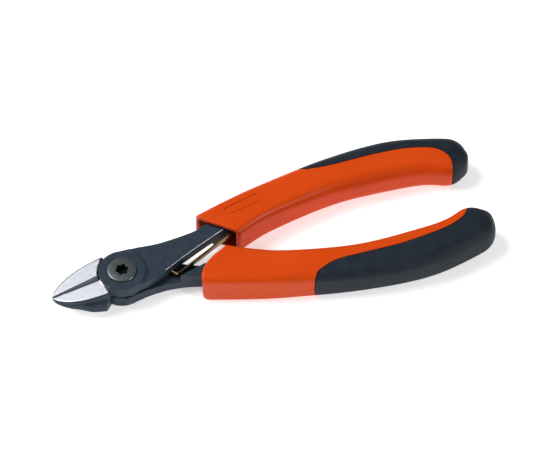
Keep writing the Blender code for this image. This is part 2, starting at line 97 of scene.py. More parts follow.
ARM_HEIGHT = 4.3
TANG_HEIGHT = 3.4
TANG_END = 98.0
TANG_HALF_WIDTH = 2.6
TANG_STEP = 44.0
DEEP_ARM_TOP = 1.0

SCREW_HEAD_RADIUS = 5.25
SCREW_HEAD_PROUD = 0.6
SCREW_HEAD_DEPTH = 1.2
SHANK_RADIUS = 3.6
SHANK_CLEARANCE = 0.08
THREAD_RADIUS = 2.6
SOCKET_RADIUS = 2.5
SOCKET_DEPTH = 2.2
RECESS_CLEARANCE = 0.15

SLEEVE_WALL = 1.7
RIM_ROUNDING = 0.75
FRONT_DROOP = 1.7
EDGE_RADIUS = 4.6
FRONT_EDGE_RADIUS = 2.5
EDGE_FADE_START = 40.0
EDGE_FADE_END = 90.0
LEAST_RADIUS = 0.3
GRIP_THICKNESS = 1.6
GRIP_GAP = 0.3
END_RADIUS = 8.0
TANG_CLEARANCE = 0.3
HOLLOW_END = 54.0

SPRING_THICKNESS = 0.6
SPRING_TOP = 2.3
SPRING_DEEP = 0.0
SPRING_TONGUE = 0.35
SPRING_PIN_RADIUS = 0.8
SPRING_PIN_CLEARANCE = 0.1
PIN_SEAT_DEPTH = 0.8
PIN_END_GAP = 0.2
SPRING_EYE = (46.5, 7.7)

LABEL_DEPTH = 0.3
DEEP_OF_UPPER = ((33.8, 10.4), (36.4, 6.6))
DEEP_OF_LOWER = ((19.4, 7.0), (29.6, 4.1))
LABEL_CORNERS = ((41.8, 14.5), (54.9, 17.8), (56.7, 14.3), (42.8, 11.4))

HANDLE_STATIONS = (
    (20.0, 2.2, 9.2),
    (34.0, 7.3, 8.5),
    (46.0, 11.8, 7.5),
    (58.0, 15.2, 7.1),
    (82.0, 19.5, 7.6),
    (104.0, 20.2, 8.3),
    (120.0, 17.9, 7.8),
    (134.0, 12.4, 8.6),
)
FRONT_OF_UPPER = ((50.0, -2.0), (43.4, 4.0), (40.0, 6.9), (37.0, 9.2), (34.0, 11.7), (31.9, 14.2),
                  (31.2, 18.0), (31.2, 22.0))
FRONT_OF_LOWER = ((44.0, -6.0), (37.6, 1.0), (32.9, 3.6), (29.3, 6.4), (26.9, 9.4), (26.0, 12.6),
                  (26.4, 16.0), (27.0, 22.0))
ARM_OF_UPPER = ((4.2, 8.95), (8.8, 8.7), (14.1, 8.3), (18.0, 8.4), (22.0, 8.75), (26.0, 9.2), (30.0, 9.9),
                (34.0, 11.5))
ARM_OF_LOWER = ((3.0, 8.1), (9.6, 7.2), (14.8, 6.9), (19.9, 7.3), (23.6, 8.0), (27.0, 8.9), (31.0, 10.3),
                (34.5, 12.0))
# Edge of each soft grip in plan, from the outer side round the end to the inner one: on the face that lies
# upwards at rest, then on the one underneath
GRIP_OF_UPPER = (
    (
        (72.0, 34.0), (75.0, 24.6), (79.0, 23.2), (88.0, 22.9), (100.0, 23.2), (111.0, 22.7),
        (118.5, 21.3), (124.0, 18.8), (127.0, 14.5), (127.2, 10.0), (125.8, 5.5), (123.0, -4.0),
    ),
    (
        (62.0, 34.0), (66.4, 23.0), (69.6, 19.9), (74.0, 17.9), (84.0, 17.7), (95.0, 17.8),
        (105.0, 17.0), (114.0, 15.9), (120.0, 14.4), (124.0, 12.2), (126.0, 8.0), (126.5, -4.0),
    ),
)
GRIP_OF_LOWER = (
    (
        (60.8, 34.0), (65.2, 23.0), (68.8, 19.9), (73.6, 17.9), (84.0, 17.7), (95.0, 17.8),
        (105.0, 17.0), (114.0, 15.9), (120.0, 14.4), (124.0, 12.2), (126.0, 8.0), (126.5, -4.0),
    ),
    (
        (60.0, 34.0), (63.4, 25.2), (69.0, 23.2), (82.0, 22.9), (98.0, 23.2), (111.0, 22.7),
        (118.5, 21.3), (124.0, 18.8), (127.0, 14.5), (127.2, 10.0), (125.8, 5.5), (123.0, -4.0),
    ),
)


def polar(radius, degrees):
    angle = math.radians(degrees)
    return radius * math.cos(angle), radius * math.sin(angle)


def smooth_line(points, steps):
    """A curve through the points, with this many steps between each two."""
    padded = [points[0], *points, points[-1]]
    line = []
    for before, start, end, after in zip(padded, padded[1:], padded[2:], padded[3:]):
        for step in range(steps):
            t = step / steps
            line.append(tuple(
                0.5 * (2 * b + (c - a) * t + (2 * a - 5 * b + 4 * c - d) * t**2
                       + (3 * b - a - 3 * c + d) * t**3)
                for a, b, c, d in zip(before, start, end, after)
            ))
    line.append(tuple(points[-1]))
    return line


HANDLE_LINE = smooth_line(HANDLE_STATIONS, 16)


def handle_at(x):
    """Centre line, slope and half width of the upper handle at this distance from the pivot."""
    for (x0, y0, w0), (x1, y1, w1) in zip(HANDLE_LINE, HANDLE_LINE[1:]):
        if x <= x1:
            break
    share = (x - x0) / (x1 - x0)
    return y0 + (y1 - y0) * share, (y1 - y0) / (x1 - x0), w0 + (w1 - w0) * share


# Mesh making


def place(point):
    """Millimetres about the pivot to the frame's metres."""
    x, y, z = point
    return PIVOT + Vector((x, y, z)) * MM


def piece_from(name, points, faces):
    mesh = bpy.data.meshes.new(name)
    mesh.from_pydata([place(point) for point in points], [], faces)
    shape = bmesh.new()
    shape.from_mesh(mesh)
    bmesh.ops.recalc_face_normals(shape, faces=shape.faces)
    shape.to_mesh(mesh)
    shape.free()
    thing = bpy.data.objects.new(name, mesh)
    bpy.context.scene.collection.objects.link(thing)
    return thing


def ring_faces(count, rows, first=0):
    return [
        (row + i, row + (i + 1) % count, row + count + (i + 1) % count, row + count + i)
        for row in range(first, first + count * (rows - 1), count)
        for i in range(count)
    ]


def loft(name, rings):
    """A closed solid through rings of equally many points."""
    count = len(rings[0])
    points = [point for ring in rings for point in ring]
    faces = ring_faces(count, len(rings))
    faces.append(tuple(range(count)))
    faces.append(tuple(range(len(points) - count, len(points))))
    return piece_from(name, points, faces)


def prism(name, outline, low, high):
    return loft(name, [[(x, y, z) for x, y in outline] for z in (low, high)])


def turned(name, profile, centre=(0.0, 0.0), segments=96):
    """A solid turned about a vertical axis: the profile is radius and height, from the bottom edge up."""
    cx, cy = centre
    rings = []
    for radius, z in profile:
        ring = [polar(radius, 360 * i / segments) for i in range(segments)]
        rings.append([(cx + dx, cy + dy, z) for dx, dy in ring])
    return loft(name, rings)


def disc(name, radius, low, high):
    return turned(name, [(radius, low), (radius, high)])


def boolean(target, tool, operation):
    """Cuts or joins, keeps the result as a plain mesh and removes the tool."""
    step = target.modifiers.new("cut", "BOOLEAN")
    step.operation = operation
    step.object = tool
    step.solver = "EXACT"
    settle(target)
    bpy.data.objects.remove(tool, do_unlink=True)
    return target


def settle(thing):
    """Turns a piece with its modifiers into a plain mesh."""
    graph = bpy.context.evaluated_depsgraph_get()
    graph.update()
    mesh = bpy.data.meshes.new_from_object(thing.evaluated_get(graph))
    thing.modifiers.clear()
    thing.data = mesh
    return thing


def smooth_shaded(thing, degrees=32):
    thing.data.shade_smooth()
    thing.data.set_sharp_from_angle(angle=math.radians(degrees))
    return thing


def turned_over(thing, name):
    """The same piece for the lower half: half a turn about the X axis through the pivot."""
    twin = thing.copy()
    twin.name = name
    twin.data = thing.data.copy()
    flip = Matrix.Translation(PIVOT) @ Matrix.Rotation(math.pi, 4, "X") @ Matrix.Translation(-PIVOT)
    twin.data.transform(flip)
    bpy.context.scene.collection.objects.link(twin)
    bpy.data.objects.remove(thing, do_unlink=True)
    return twin


# Node helpers


def material_named(name):
    material = bpy.data.materials.new(name)
    material.use_nodes = True
    return material, material.node_tree, material.node_tree.nodes["Principled BSDF"]


def add(tree, kind, inputs=(), **settings):
    """Adds a node, sets its settings, and links or sets the inputs given as (socket, value) pairs."""
    node = tree.nodes.new(kind)
    for key, value in settings.items():
        setattr(node, key, value)
    for socket, value in inputs:
        if isinstance(value, bpy.types.NodeSocket):
            tree.links.new(value, node.inputs[socket])
        else:
            node.inputs[socket].default_value = value
    return node


def object_millimetres(tree):
    """Object coordinates in millimetres from the pivot axis."""
    where = add(tree, "ShaderNodeTexCoord").outputs["Object"]
    centred = add(tree, "ShaderNodeVectorMath", [(0, where), (1, PIVOT)], operation="SUBTRACT").outputs[0]
    return add(tree, "ShaderNodeVectorMath", [(0, centred), ("Scale", 1 / MM)], operation="SCALE").outputs[0]


def stretched(tree, vector, x, y, z, turn=0.0):
    inputs = [("Vector", vector), ("Scale", (x, y, z)), ("Rotation", (0.0, 0.0, math.radians(turn)))]
    return add(tree, "ShaderNodeMapping", inputs).outputs[0]


def noise(tree, vector, scale, detail=2.0, roughness=0.5):
    inputs = [("Vector", vector), ("Scale", scale), ("Detail", detail), ("Roughness", roughness)]
    return add(tree, "ShaderNodeTexNoise", inputs).outputs["Fac"]


def ranged(tree, value, low, high, to_low, to_high):
    inputs = [(0, value), (1, low), (2, high), (3, to_low), (4, to_high)]
    return add(tree, "ShaderNodeMapRange", inputs).outputs[0]


def ramp(tree, value, stops):
    node = add(tree, "ShaderNodeValToRGB", [("Fac", value)])
    elements = node.color_ramp.elements
    while len(elements) < len(stops):
        elements.new(0.5)
    for element, (position, colour) in zip(elements, stops):
        element.position = position
        element.color = (*colour, 1.0)
    return node.outputs["Color"]


def mixed(tree, share, first, second):
    inputs = [("Factor", share)]
    node = add(tree, "ShaderNodeMix", inputs, data_type="RGBA")
    for socket, value in ((node.inputs[6], first), (node.inputs[7], second)):
        if isinstance(value, bpy.types.NodeSocket):
            tree.links.new(value, socket)
        else:
            socket.default_value = (*value, 1.0)
    return node.outputs[2]


def maths(tree, operation, first, second=0.0):
    return add(tree, "ShaderNodeMath", [(0, first), (1, second)], operation=operation).outputs[0]


def bumped(tree, shader, height, distance, strength=1.0):
    inputs = [("Height", height), ("Distance", distance), ("Strength", strength)]
    normal = add(tree, "ShaderNodeBump", inputs).outputs[0]
    tree.links.new(normal, shader.inputs["Normal"])
    return normal


# Finishes


def forged_steel():
    """Blackened, satin forged steel whose ground jaw faces are left bright, with a painted highlight along
    the arm's inner top edge in the same bright finish.
    """
    material, tree, shader = material_named("forged_steel")
    where = object_millimetres(tree)
    # This attribute marks the ground jaw faces and the painted highlight along the arm's inner top edge; both
    # take the bright colour below.
    ground_and_highlight = add(tree, "ShaderNodeAttribute", attribute_name="ground_and_highlight").outputs["Fac"]
    ground_and_highlight = ranged(tree, ground_and_highlight, 0.45, 0.55, 0.0, 1.0)
    cloud = noise(tree, where, 0.35, 3.0)
    grain = noise(tree, where, 9.0, 4.0)
    black = ramp(tree, cloud, [(0.3, (0.024, 0.036, 0.052)), (0.7, (0.033, 0.048, 0.068))])
    scratch = noise(tree, stretched(tree, where, 0.35, 14.0, 1.0, 12.0), 1.0, 3.0, 0.6)
    bright = ramp(tree, scratch, [(0.25, (0.245, 0.255, 0.285)), (0.75, (0.33, 0.335, 0.37))])
    tree.links.new(mixed(tree, ground_and_highlight, black, bright), shader.inputs["Base Color"])
    satin = ranged(tree, grain, 0.3, 0.7, 0.34, 0.46)
    polish = ranged(tree, scratch, 0.3, 0.7, 0.24, 0.36)
    rough = add(tree, "ShaderNodeMix", [("Factor", ground_and_highlight)], data_type="FLOAT")
    tree.links.new(satin, rough.inputs[2])
    tree.links.new(polish, rough.inputs[3])
    tree.links.new(rough.outputs[0], shader.inputs["Roughness"])
    metal = ranged(tree, ground_and_highlight, 0.0, 1.0, 0.1, 0.65)
    tree.links.new(metal, shader.inputs["Metallic"])
    shader.inputs["Specular IOR Level"].default_value = 0.12
    relief = add(tree, "ShaderNodeMix", [("Factor", ground_and_highlight)], data_type="FLOAT")
    tree.links.new(grain, relief.inputs[2])
    tree.links.new(scratch, relief.inputs[3])
    bumped(tree, shader, relief.outputs[0], 0.00002, 0.5)
    return material


def turned_steel():
    """Grey-olive plated steel with fine turning rings about the pivot axis, and painted shade: the inside of
    the driver socket is coloured near-black.
    """
    material, tree, shader = material_named("plated_steel")
    where = object_millimetres(tree)
    flat = add(
        tree, "ShaderNodeVectorMath", [(0, where), (1, (1.0, 1.0, 0.0))], operation="MULTIPLY"
    ).outputs[0]
    radius = add(tree, "ShaderNodeVectorMath", [(0, flat)], operation="LENGTH").outputs["Value"]
    rings = add(tree, "ShaderNodeTexNoise", [("W", radius), ("Scale", 7.0), ("Detail", 2.0)],
                noise_dimensions="1D").outputs["Fac"]
    cloud = noise(tree, where, 0.9, 3.0)
    colour = ramp(tree, cloud, [(0.3, (0.13, 0.150, 0.155)), (0.7, (0.19, 0.215, 0.22))])
    socket = add(tree, "ShaderNodeAttribute", attribute_name="socket").outputs["Fac"]
    # painted shade: the inside of the socket, marked by the socket attribute, is coloured near-black
    painted_socket_shade = ramp(tree, rings, [(0.3, (0.004, 0.005, 0.006)), (0.7, (0.012, 0.014, 0.015))])
    tree.links.new(mixed(tree, socket, colour, painted_socket_shade), shader.inputs["Base Color"])
    tree.links.new(ranged(tree, rings, 0.3, 0.7, 0.26, 0.40), shader.inputs["Roughness"])
    shader.inputs["Metallic"].default_value = 0.9
    bumped(tree, shader, rings, 0.00002, 0.5)
    return material


def spring_bronze():
    """Rolled spring strip, brownish with lines along its length."""
    material, tree, shader = material_named("spring_strip")
    where = object_millimetres(tree)
    rolled = noise(tree, stretched(tree, where, 0.25, 0.25, 9.0), 1.0, 3.0, 0.6)
    cloud = noise(tree, where, 0.5, 2.0)
    base = ramp(tree, cloud, [(0.3, (0.24, 0.18, 0.100)), (0.7, (0.31, 0.24, 0.140))])
    tree.links.new(base, shader.inputs["Base Color"])
    tree.links.new(ranged(tree, rolled, 0.3, 0.7, 0.24, 0.4), shader.inputs["Roughness"])
    shader.inputs["Metallic"].default_value = 1.0
    bumped(tree, shader, rolled, 0.00002, 0.4)
    return material


def orange_plastic():
    """Moulded orange plastic with a faint flow pattern and a fine spark-eroded skin."""
    material, tree, shader = material_named("orange_plastic")
    where = object_millimetres(tree)
    flow = noise(tree, stretched(tree, where, 0.03, 0.12, 0.2), 1.0, 3.0)
    skin = noise(tree, where, 5.0, 3.0)
    colour = ramp(tree, flow, [(0.3, (0.57, 0.054, 0.003)), (0.7, (0.62, 0.062, 0.005))])
    tree.links.new(colour, shader.inputs["Base Color"])
    tree.links.new(ranged(tree, skin, 0.3, 0.7, 0.27, 0.35), shader.inputs["Roughness"])
    shader.inputs["Specular IOR Level"].default_value = 0.14
    shader.inputs["Subsurface Weight"].default_value = 0.0
    bumped(tree, shader, skin, 0.00003, 0.35)
    return material


def soft_rubber():
    """Black thermoplastic rubber with a fine leathery grain."""
    material, tree, shader = material_named("soft_rubber")
    where = object_millimetres(tree)
    cells = add(tree, "ShaderNodeTexVoronoi", [("Vector", where), ("Scale", 2.6), ("Randomness", 1.0)],
                feature="F1").outputs["Distance"]
    fine = noise(tree, where, 7.0, 3.0, 0.6)
    relief = maths(tree, "ADD", ranged(tree, cells, 0.0, 0.6, 1.0, 0.0), maths(tree, "MULTIPLY", fine, 0.5))
    dust = noise(tree, where, 0.25, 3.0)
    colour = ramp(tree, dust, [(0.3, (0.004, 0.009, 0.016)), (0.7, (0.008, 0.015, 0.025))])
    tree.links.new(colour, shader.inputs["Base Color"])
    tree.links.new(ranged(tree, relief, 0.2, 1.2, 0.62, 0.48), shader.inputs["Roughness"])
    shader.inputs["Specular IOR Level"].default_value = 0.25
    bumped(tree, shader, relief, 0.00006, 0.6)
    return material


# Geometry node trees


def new_tree(name, sockets):
    """A geometry tree with a geometry input and output, a material input and the sizes named in sockets."""
    tree = bpy.data.node_groups.new(name, "GeometryNodeTree")
    tree.interface.new_socket(name="Geometry", in_out="INPUT", socket_type="NodeSocketGeometry")
    for socket, kind in sockets:
        tree.interface.new_socket(name=socket, in_out="INPUT", socket_type=kind)
    tree.interface.new_socket(name="Finish", in_out="INPUT", socket_type="NodeSocketMaterial")
    tree.interface.new_socket(name="Geometry", in_out="OUTPUT", socket_type="NodeSocketGeometry")
    return tree, tree.nodes.new("NodeGroupInput").outputs


def end_tree(tree, geometry, given):
    """Ends a tree in Realize Instances and Set Material."""
    real = add(tree, "GeometryNodeRealizeInstances", [("Geometry", geometry)]).outputs[0]
    done = add(
        tree, "GeometryNodeSetMaterial", [("Geometry", real), ("Material", given["Finish"])]
    ).outputs[0]
    tree.links.new(done, tree.nodes.new("NodeGroupOutput").inputs[0])


def grown(thing, tree, values):
    """Runs a tree on a guide with the named sizes and keeps the result as a plain mesh."""
    step = thing.modifiers.new(tree.name, "NODES")
    step.node_group = tree
    for item in tree.interface.items_tree:
        if item.in_out == "INPUT" and item.name in values:
            step[item.identifier] = values[item.name]
    return settle(thing)


def guide_line(name, points, attributes=()):
    """A line of edges through the points, with a number at each point for every named attribute."""
    mesh = bpy.data.meshes.new(name)
    mesh.from_pydata([place(point) for point in points], [(i, i + 1) for i in range(len(points) - 1)], [])
    for label, numbers in attributes:
        mesh.attributes.new(label, "FLOAT", "POINT").data.foreach_set("value", numbers)
    thing = bpy.data.objects.new(name, mesh)
    bpy.context.scene.collection.objects.link(thing)
    return thing


def handle_shell_tree():
    """Sweeps the handle's rounded section along its centre line, at an inset from the outer skin."""
    tree, given = new_tree("handle_shell", [
        ("Inset", "NodeSocketFloat"),
        ("Thickness", "NodeSocketFloat"),
        ("Rows", "NodeSocketInt"),
        ("Columns", "NodeSocketInt"),
    ])

    def math_of(operation, first, second=0.0):
        return add(tree, "ShaderNodeMath", [(0, first), (1, second)], operation=operation).outputs[0]

    line = add(tree, "GeometryNodeMeshToCurve", [("Mesh", given["Geometry"])]).outputs[0]
    tube = add(tree, "GeometryNodeMeshCylinder", [
        ("Vertices", given["Columns"]), ("Side Segments", given["Rows"]), ("Radius", 1.0), ("Depth", 1.0),
    ]).outputs["Mesh"]
    spot = add(
        tree, "ShaderNodeSeparateXYZ", [(0, add(tree, "GeometryNodeInputPosition").outputs[0])]
    ).outputs
    left = math_of("POWER", math_of("MAXIMUM", math_of("SUBTRACT", 0.5, spot[2]), 0.0), 1.6)
    along = math_of("SUBTRACT", 1.0, left)

    def sampled(label):
        number = add(tree, "GeometryNodeInputNamedAttribute", [("Name", label)], data_type="FLOAT").outputs[0]
        return add(tree, "GeometryNodeSampleCurve", [("Curves", line), ("Value", number), ("Factor", along)],
                   mode="FACTOR", use_all_curves=True).outputs

    sample = sampled("half_width")
    squeeze = sampled("squeeze")["Value"]
    across = add(tree, "ShaderNodeVectorMath", [(0, (0.0, 0.0, 1.0)), (1, sample["Tangent"])],
                 operation="CROSS_PRODUCT").outputs[0]
    across = add(tree, "ShaderNodeVectorMath", [(0, across)], operation="NORMALIZE").outputs[0]
    width = math_of("MULTIPLY", math_of("SUBTRACT", sample["Value"], given["Inset"]), squeeze)
    width = math_of("MAXIMUM", width, 0.25 * MM)
    full = math_of("SUBTRACT", math_of("MULTIPLY", given["Thickness"], 0.5), given["Inset"])
    height = math_of("MULTIPLY", full, math_of("ADD", math_of("MULTIPLY", squeeze, 0.55), 0.45))
    radius = sampled("edge_radius")["Value"]
    radius = math_of("MINIMUM", radius, math_of("MULTIPLY", width, 0.95))
    radius = math_of("MINIMUM", radius, math_of("MULTIPLY", height, 0.95))

    def reach(size, direction):
        flat = math_of("MULTIPLY", math_of("SUBTRACT", size, radius), math_of("SIGN", direction))
        return math_of("ADD", flat, math_of("MULTIPLY", radius, direction))

    sideways = add(tree, "ShaderNodeVectorMath", [(0, across), ("Scale", reach(width, spot[0]))],
                   operation="SCALE").outputs[0]
    rise = add(tree, "ShaderNodeCombineXYZ", [("Z", reach(height, spot[1]))]).outputs[0]
    offset = add(tree, "ShaderNodeVectorMath", [(0, sideways), (1, rise)], operation="ADD").outputs[0]
    target = add(
        tree, "ShaderNodeVectorMath", [(0, sample["Position"]), (1, offset)], operation="ADD"
    ).outputs[0]
    shaped = add(tree, "GeometryNodeSetPosition", [("Geometry", tube), ("Position", target)]).outputs[0]
    end_tree(tree, shaped, given)
    return tree


def spring_strip_tree():
    """Bends a strip on edge along a line, with a narrow tongue at its free end."""
    tree, given = new_tree("spring_strip_path", [
        ("Bend radius", "NodeSocketFloat"),
        ("Lower edge", "NodeSocketFloat"),
        ("Tongue edge", "NodeSocketFloat"),
        ("Upper edge", "NodeSocketFloat"),
        ("Tongue start", "NodeSocketFloat"),
        ("Tongue end", "NodeSocketFloat"),
    ])
    line = add(tree, "GeometryNodeMeshToCurve", [("Mesh", given["Geometry"])]).outputs[0]
    bent = add(tree, "GeometryNodeFilletCurve", [
        ("Curve", line), ("Count", 5), ("Radius", given["Bend radius"]), ("Limit Radius", True),
    ], mode="POLY")
    steps = add(tree, "GeometryNodeResampleCurve", [("Curve", bent.outputs[0]), ("Length", 0.35 * MM)],
                mode="LENGTH")
    wire = add(tree, "GeometryNodeCurveToMesh", [("Curve", steps.outputs[0])]).outputs[0]
    height = add(tree, "ShaderNodeMath", [(0, given["Upper edge"]), (1, given["Lower edge"])],
                 operation="SUBTRACT").outputs[0]
    up = add(tree, "ShaderNodeCombineXYZ", [("Z", height)]).outputs[0]
    ribbon = add(tree, "GeometryNodeExtrudeMesh", [("Mesh", wire), ("Offset", up), ("Offset Scale", 1.0)],
                 mode="EDGES")
    spot = add(
        tree, "ShaderNodeSeparateXYZ", [(0, add(tree, "GeometryNodeInputPosition").outputs[0])]
    ).outputs
    lower = add(tree, "FunctionNodeCompare", [("A", spot[2]), ("B", PIVOT.z + 0.5 * MM)],
                data_type="FLOAT", operation="LESS_THAN").outputs[0]
    edge = add(tree, "ShaderNodeMapRange", [
        (0, spot[0]), (1, given["Tongue start"]), (2, given["Tongue end"]),
        (3, given["Tongue edge"]), (4, given["Lower edge"]),
    ], interpolation_type="SMOOTHSTEP").outputs[0]
    lift = add(tree, "ShaderNodeMath", [(0, edge), (1, given["Lower edge"])], operation="SUBTRACT").outputs[0]
    lift = add(tree, "ShaderNodeCombineXYZ", [("Z", lift)]).outputs[0]
    cut = add(tree, "GeometryNodeSetPosition", [
        ("Geometry", ribbon.outputs["Mesh"]), ("Selection", lower), ("Offset", lift),
    ]).outputs[0]
    end_tree(tree, cut, given)
    return tree


def lobed_socket_tree():
    """A six-lobed driver socket: lobes repeated round the axis, filled and drawn down to its depth."""
    tree, given = new_tree("lobed_socket", [
        ("Lobes", "NodeSocketInt"),
        ("Radius", "NodeSocketFloat"),
        ("Lobe depth", "NodeSocketFloat"),
        ("Depth", "NodeSocketFloat"),
        ("Centre", "NodeSocketVector"),
    ])

    def math_of(operation, first, second=0.0):
        return add(tree, "ShaderNodeMath", [(0, first), (1, second)], operation=operation).outputs[0]

    ring = add(tree, "GeometryNodeCurvePrimitiveCircle", [("Resolution", 144), ("Radius", given["Radius"])])
    place_now = add(tree, "GeometryNodeInputPosition").outputs[0]
    spot = add(tree, "ShaderNodeSeparateXYZ", [(0, place_now)]).outputs
    angle = math_of("MULTIPLY", math_of("ARCTAN2", spot[1], spot[0]), given["Lobes"])
    wave = math_of("MULTIPLY", math_of("SUBTRACT", math_of("COSINE", angle), 1.0), given["Lobe depth"])
    share = math_of("ADD", 1.0, math_of("DIVIDE", wave, math_of("MULTIPLY", given["Radius"], 2.0)))
    scaled = add(
        tree, "ShaderNodeVectorMath", [(0, place_now), ("Scale", share)], operation="SCALE"
    ).outputs[0]
    target = add(
        tree, "ShaderNodeVectorMath", [(0, scaled), (1, given["Centre"])], operation="ADD"
    ).outputs[0]
    star = add(
        tree, "GeometryNodeSetPosition", [("Geometry", ring.outputs[0]), ("Position", target)]
    ).outputs[0]
    face = add(tree, "GeometryNodeFillCurve", [("Curve", star)]).outputs[0]
    down = add(tree, "ShaderNodeCombineXYZ", [("Z", given["Depth"])]).outputs[0]
    walls = add(tree, "GeometryNodeExtrudeMesh", [
        ("Mesh", face), ("Offset", down), ("Offset Scale", 1.0), ("Individual", False),
    ], mode="FACES").outputs["Mesh"]
    lid = add(tree, "GeometryNodeFlipFaces", [("Mesh", face)]).outputs[0]
    joined = tree.nodes.new("GeometryNodeJoinGeometry")
    tree.links.new(lid, joined.inputs[0])
    tree.links.new(walls, joined.inputs[0])
    closed = add(tree, "GeometryNodeMergeByDistance", [("Geometry", joined.outputs[0]), ("Distance", 1e-6)])
    level = add(tree, "ShaderNodeSeparateXYZ", [(0, given["Centre"])]).outputs[2]
    lift = add(tree, "ShaderNodeCombineXYZ", [("Z", level)]).outputs[0]
    raised = add(
        tree, "GeometryNodeSetPosition", [("Geometry", closed.outputs[0]), ("Offset", lift)]
    ).outputs[0]
    end_tree(tree, raised, given)
    return tree


# Handles

CORNER_STEPS = 10
FLAT_STEPS = 8
SIDE_STEPS = 4


def section_columns():
    """Round the section once: shares of the flat's half sizes, then the direction of the rounded edge."""
    columns = []
    for side, up, start in ((1, 1, 0), (-1, 1, 90), (-1, -1, 180), (1, -1, 270)):
        for step in range(CORNER_STEPS + 1):
            dx, dz = polar(1.0, start + 90 * step / CORNER_STEPS)
            columns.append((side, up, dx, dz))
        count = FLAT_STEPS if side == up else SIDE_STEPS
        for step in range(1, count):
            share = 1 - 2 * step / count
            if side == up:
                columns.append((side * share, up, 0.0, float(up)))
            else:
                columns.append((side, up * share, float(side), 0.0))
    return columns


COLUMNS = section_columns()


def edge_radius(x, inset):
    """Radius of the handle's rounded edges at x, for a skin moved inwards by inset."""
    share = min(1.0, max(0.0, (x - EDGE_FADE_START) / (EDGE_FADE_END - EDGE_FADE_START)))
    radius = FRONT_EDGE_RADIUS + (EDGE_RADIUS - FRONT_EDGE_RADIUS) * share * share * (3 - 2 * share)
    return max(LEAST_RADIUS, radius - inset)


def skin_point(x, column, inset, squeeze=1.0):
    """Point of the handle's skin at x in one column of its section, moved inwards by inset."""
    y, slope, half_width = handle_at(x)
    lean = math.hypot(1, slope)
    width = max(0.25, (half_width - inset) * squeeze)
    height = (HANDLE_THICKNESS / 2 - inset) * (0.45 + 0.55 * squeeze)
    radius = min(edge_radius(x, inset), 0.95 * width, 0.95 * height)
    side, up, dx, dz = column
    offset = side * (width - radius) + radius * dx
    return x - slope / lean * offset, y + offset / lean, up * (height - radius) + radius * dz


def front_edge_at(y, line):
    """Where the sleeve begins along X at this place across it."""
    for (x0, y0), (x1, y1) in zip(line, line[1:]):
        if y1 >= y:
            return x0 + (x1 - x0) * (y - y0) / (y1 - y0)
    return line[-1][0]


def front_starts(inset, line, side):
    """For each column, the station of its point on the sleeve's front edge, which droops underneath."""
    starts = []
    for column in COLUMNS:
        low, high = 14.0, 64.0
        for _ in range(26):
            middle = (low + high) / 2
            x, y, z = skin_point(middle, column, inset)
            droop = FRONT_DROOP * max(0.0, -side * z / (HANDLE_THICKNESS / 2)) ** 4
            if x < front_edge_at(y, line) + droop:
                low = middle
            else:
                high = middle
        starts.append((low + high) / 2)
    return starts


def end_rows(end, inset, count=18):
    """Stations and squeezes of the rows that round off the handle's end."""
    angles = [90 * (1 - (1 - step / count) ** 1.4) for step in range(1, count)] + [88.5]
    straight = end - inset - END_RADIUS
    for _ in range(4):
        rows = [(straight + polar(END_RADIUS, angle)[1], polar(1.0, angle)[0]) for angle in angles]
        furthest = max(
            skin_point(x, column, inset, squeeze)[0] for x, squeeze in rows for column in COLUMNS[::6]
        )
        straight -= furthest - (end - inset)
    return straight, rows


def sleeve_rows(inset, end, steps, line, side):
    """Rows of skin from behind the front rim back to the rounded end."""
    starts = [start + RIM_ROUNDING for start in front_starts(inset, line, side)]
    straight, closing = end_rows(end, inset)
    rows = []
    for step in range(steps + 1):
        share = (step / steps) ** 1.15
        rows.append([
            skin_point(start + (straight - start) * share, column, inset)
            for start, column in zip(starts, COLUMNS)
        ])
    for x, squeeze in closing:
        rows.append([skin_point(x, column, inset, squeeze) for column in COLUMNS])
    return rows


def rim_rows(line, side):
    """Rows over the sleeve's rounded front rim, from its outer skin to its inner one."""
    turns = []
    for angle in (18, 36, 54, 72, 90):
        across, along = polar(RIM_ROUNDING, angle)
        turns.append((RIM_ROUNDING - across, RIM_ROUNDING - along))
    turns += [(SLEEVE_WALL - inset, back) for inset, back in reversed(turns)]
    return [
        [
            skin_point(start + back, column, inset)
            for start, column in zip(front_starts(inset, line, side), COLUMNS)
        ]
        for inset, back in turns
    ]


def sleeve_body(name, line, side):
    """The hollow front, the whole skin and the inner wall of a sleeve as one closed shell."""
    outer = sleeve_rows(0.0, HANDLE_REACH, 90, line, side)
    inner = sleeve_rows(SLEEVE_WALL, HOLLOW_END + END_RADIUS, 24, line, side)
    return loft(name, outer[::-1] + rim_rows(line, side) + inner)


CUTTER_REACH = 9.0


def ruled(name, upper, lower, behind):
    """A solid between a line on the upper face and one on the lower face, filled to the points behind it."""
    top = [(x, y, CUTTER_REACH) for x, y in (*upper, *behind)]
    bottom = [(x, y, -CUTTER_REACH) for x, y in (*lower, *behind)]
    return loft(name, [top, bottom])


def grip_zone(name, edges, grow=0.0):
    """The space that holds a soft grip between its edges. grow moves them into the hard sleeve."""
    def moved(line):
        shifted = []
        for index, (x, y) in enumerate(line):
            x0, y0 = line[max(0, index - 1)]
            x1, y1 = line[min(len(line) - 1, index + 1)]
            length = math.hypot(x1 - x0, y1 - y0)
            shifted.append((x + grow * (y1 - y0) / length, y - grow * (x1 - x0) / length))
        return shifted

    upper = moved(smooth_line(edges[0], 10))
    lower = moved(smooth_line(edges[1], 10))
    return ruled(name, upper, lower, [(160.0, -4.0), (160.0, 34.0)])


def tang_edges(extra=0.0):
    """Outer and inner edges of the tang inside the sleeve, widened by extra."""
    outer, inner = [], []
    for x in (40.0, 48.0, 58.0, 70.0, 84.0, TANG_END + extra):
        y, slope, _ = handle_at(x)
        lean = math.hypot(1, slope)
        front = max(0.0, (58.0 - x) / 18.0)
        half = (TANG_HALF_WIDTH + 0.6 * front + extra) * lean
        outer.append((x, y + 1.4 * front + half))
        inner.append((x, y + 1.4 * front - half))
    return outer, inner


